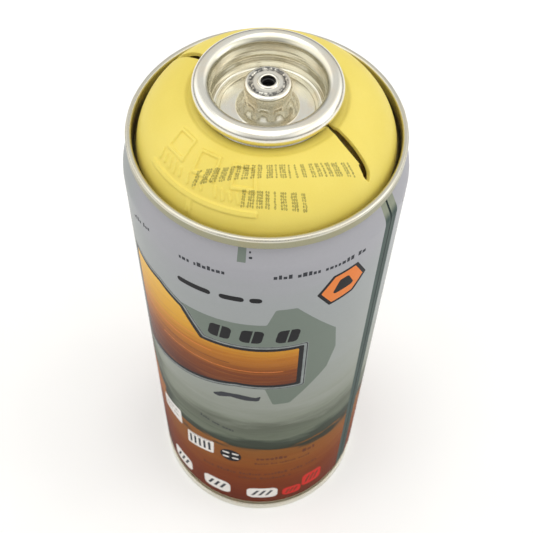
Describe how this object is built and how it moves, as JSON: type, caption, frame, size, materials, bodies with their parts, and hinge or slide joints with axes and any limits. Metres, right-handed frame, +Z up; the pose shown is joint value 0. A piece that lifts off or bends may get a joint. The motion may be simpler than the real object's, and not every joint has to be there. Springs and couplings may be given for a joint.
{
  "type": "aerosol spray can",
  "caption": "Pressurised tinplate spray can with a spring-loaded female valve, a valve cup, a dip tube, loose mixing balls and a plastic colour ring clipped over its dome.",
  "frame": {"origin": "on the can's axis at the plane the can stands on", "axes": "+Z up along the can's axis, towards the valve; the printed front faces -Y and the dip tube bends towards +X"},
  "size_m": [0.0658, 0.0658, 0.1707],
  "materials": {
    "printed_tinplate": "printed and varnished tinplate, semi-gloss",
    "tinplate": "bright tinplate with a faint drawing grain",
    "cup_tinplate": "bright tinplate, clear-lacquered, slightly warm",
    "compound": "dull",
    "gasket_rubber": "satin black",
    "valve_plastic": "natural nylon",
    "spring_steel": "drawn wire",
    "tube_plastic": "translucent polyethylene",
    "ball_steel": "polished",
    "ring_plastic": "matt moulded, pale yellow"
  },
  "bodies": {
    "can": {"can_body": "printed_tinplate", "top_dome": "tinplate", "bottom_dome": "tinplate", "top_seam_compound": "compound", "bottom_seam_compound": "compound", "mounting_cup": "cup_tinplate", "cup_gasket": "gasket_rubber", "stem_gasket": "gasket_rubber", "valve_housing": "valve_plastic", "valve_spring": "spring_steel", "dip_tube": "tube_plastic"},
    "valve": {"spring_cup": "valve_plastic"},
    "ring": {"colour_ring": "ring_plastic"},
    "ball_a": {"mixing_ball_a": "ball_steel"},
    "ball_b": {"mixing_ball_b": "ball_steel"}
  },
  "joints": [
    {"name": "valve_press", "type": "slide", "parent": "can", "child": "valve", "axis": [0, 0, -1], "range_m": [0, 0.0015], "stiffness_N_per_m": 1500, "springref_m": -0.003, "deforming": ["valve_spring"]},
    {"name": "ring_turn", "type": "hinge", "parent": "can", "child": "ring", "pos_m": [0, 0, 0.155], "axis": [0, 0, 1], "continuous": true},
    {"name": "ball_a_rattle", "type": "slide", "parent": "can", "child": "ball_a", "axis": [0, 0, 1], "range_m": [0, 0.13]},
    {"name": "ball_b_rattle", "type": "slide", "parent": "can", "child": "ball_b", "axis": [0, 0, 1], "range_m": [0, 0.13]}
  ]
}
